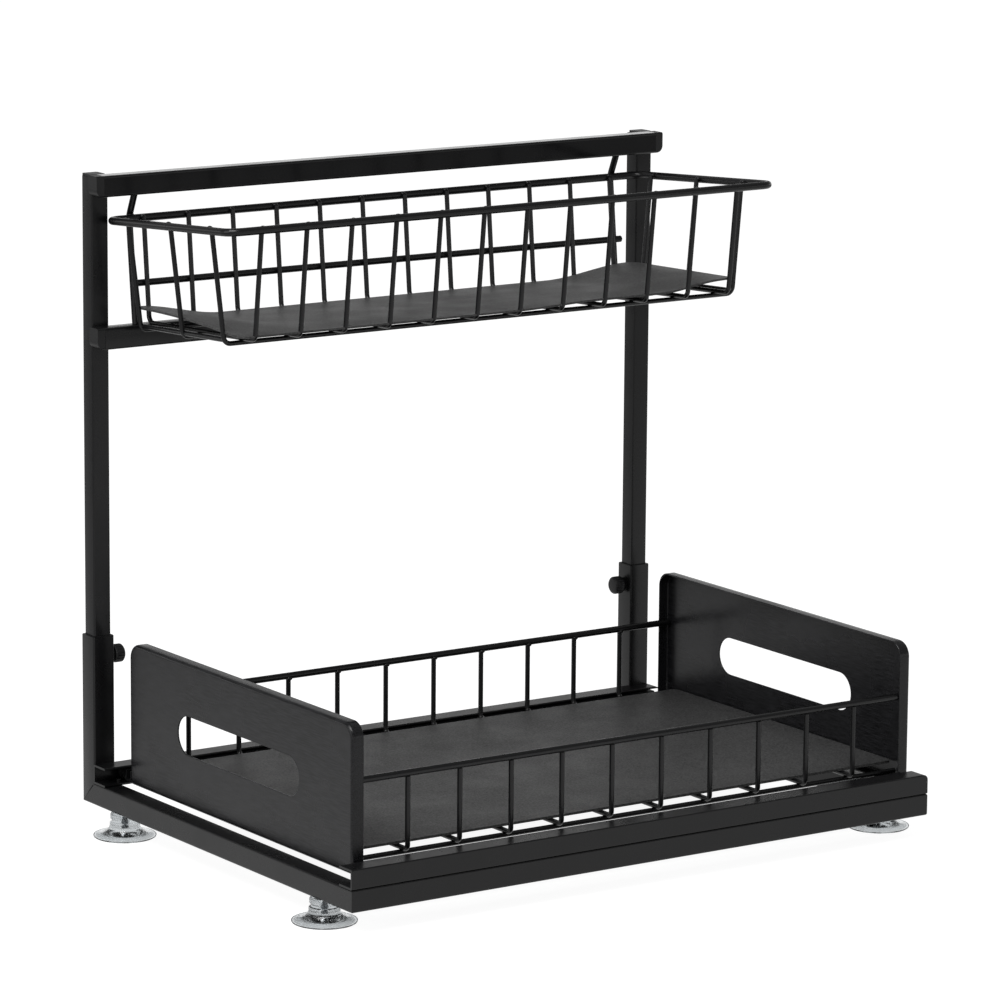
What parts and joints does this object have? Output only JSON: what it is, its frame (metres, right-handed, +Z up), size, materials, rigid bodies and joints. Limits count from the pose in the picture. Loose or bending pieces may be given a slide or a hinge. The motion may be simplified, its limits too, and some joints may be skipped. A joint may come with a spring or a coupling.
{
  "type": "under sink organizer",
  "caption": "Two-tier under sink organizer: a wire drawer with metal end plates slides on a suction-footed base, below a height-adjustable wire basket",
  "frame": {"origin": "centre of the bounding box in X and Y, on the floor under the feet", "axes": "+X is right along the drawer's travel, +Y is to the rear where the posts stand, +Z is up"},
  "size_m": [0.424, 0.295, 0.387],
  "materials": {
    "black_coat": "semi-gloss black powder coat",
    "liner": "matte dark grey sheet",
    "clear_foot": "clear soft plastic",
    "black_plastic": "moulded black plastic",
    "nylon": "moulded nylon",
    "zinc": "zinc-plated steel"
  },
  "bodies": {
    "base": {"front_rail": "black_coat", "left_side_rail": "black_coat", "right_side_rail": "black_coat", "left_sleeve": "black_coat", "right_sleeve": "black_coat", "front_track": "black_coat", "rear_track": "black_coat", "front_left_foot": "clear_foot", "front_right_foot": "clear_foot", "rear_left_foot": "clear_foot", "rear_right_foot": "clear_foot", "foot_screws": "zinc", "left_weld_nut": "black_coat", "right_weld_nut": "black_coat", "track_roller_pins": "zinc"},
    "upper_frame": {"left_post": "black_coat", "right_post": "black_coat", "post_caps": "black_plastic", "top_rail": "black_coat", "crossbar": "black_coat", "rail_end_caps": "black_plastic", "left_hanger": "black_coat", "right_hanger": "black_coat", "basket_rim": "black_coat", "basket_back_wire": "black_coat", "basket_cross_wires": "black_coat", "basket_long_wire_front": "black_coat", "basket_long_wire_rear": "black_coat", "basket_base_ring": "black_coat", "basket_liner": "liner"},
    "drawer": {"left_end_plate": "black_coat", "right_end_plate": "black_coat", "front_top_wire": "black_coat", "rear_top_wire": "black_coat", "front_low_wire": "black_coat", "rear_low_wire": "black_coat", "drawer_cross_wires": "black_coat", "drawer_liner": "liner", "front_runner": "black_coat", "rear_runner": "black_coat", "runner_roller_pins": "zinc"},
    "left_screw": {"left_screw": "zinc"},
    "left_knob": {"left_knob": "black_plastic"},
    "right_screw": {"right_screw": "zinc"},
    "right_knob": {"right_knob": "black_plastic"},
    "front_track_roller": {"front_track_roller": "nylon"},
    "rear_track_roller": {"rear_track_roller": "nylon"},
    "front_runner_roller": {"front_runner_roller": "nylon"},
    "rear_runner_roller": {"rear_runner_roller": "nylon"}
  },
  "joints": [
    {"name": "drawer_slide", "type": "slide", "parent": "base", "child": "drawer", "axis": [1, 0, 0], "range_m": [0, 0.24]},
    {"name": "height_adjust", "type": "slide", "parent": "base", "child": "upper_frame", "axis": [0, 0, 1], "range_m": [-0.03, 0.03]},
    {"name": "left_screw_travel", "type": "slide", "parent": "base", "child": "left_screw", "axis": [1, 0, 0], "range_m": [0, 0.006]},
    {"name": "left_screw_turn", "type": "hinge", "parent": "left_screw", "child": "left_knob", "pos_m": [-0.18, 0.141, 0.102], "axis": [1, 0, 0], "continuous": true},
    {"name": "right_screw_travel", "type": "slide", "parent": "base", "child": "right_screw", "axis": [-1, 0, 0], "range_m": [0, 0.006]},
    {"name": "right_screw_turn", "type": "hinge", "parent": "right_screw", "child": "right_knob", "pos_m": [0.18, 0.141, 0.102], "axis": [-1, 0, 0], "continuous": true},
    {"name": "front_track_roller_spin", "type": "hinge", "parent": "base", "child": "front_track_roller", "pos_m": [0.188, -0.141, 0.0317], "axis": [0, 1, 0], "continuous": true},
    {"name": "front_runner_roller_spin", "type": "hinge", "parent": "drawer", "child": "front_runner_roller", "pos_m": [-0.1808, -0.141, 0.03275], "axis": [0, 1, 0], "continuous": true},
    {"name": "rear_track_roller_spin", "type": "hinge", "parent": "base", "child": "rear_track_roller", "pos_m": [0.188, 0.128, 0.0317], "axis": [0, 1, 0], "continuous": true},
    {"name": "rear_runner_roller_spin", "type": "hinge", "parent": "drawer", "child": "rear_runner_roller", "pos_m": [-0.1808, 0.128, 0.03275], "axis": [0, 1, 0], "continuous": true}
  ],
  "couplings": [
    {"joint": "left_screw_turn", "follows": "left_screw_travel", "rad_per_m": 7854},
    {"joint": "right_screw_turn", "follows": "right_screw_travel", "rad_per_m": 7854},
    {"joint": "front_track_roller_spin", "follows": "drawer_slide", "rad_per_m": 294.12},
    {"joint": "front_runner_roller_spin", "follows": "drawer_slide", "rad_per_m": 224.72},
    {"joint": "rear_track_roller_spin", "follows": "drawer_slide", "rad_per_m": 294.12},
    {"joint": "rear_runner_roller_spin", "follows": "drawer_slide", "rad_per_m": 224.72}
  ]
}
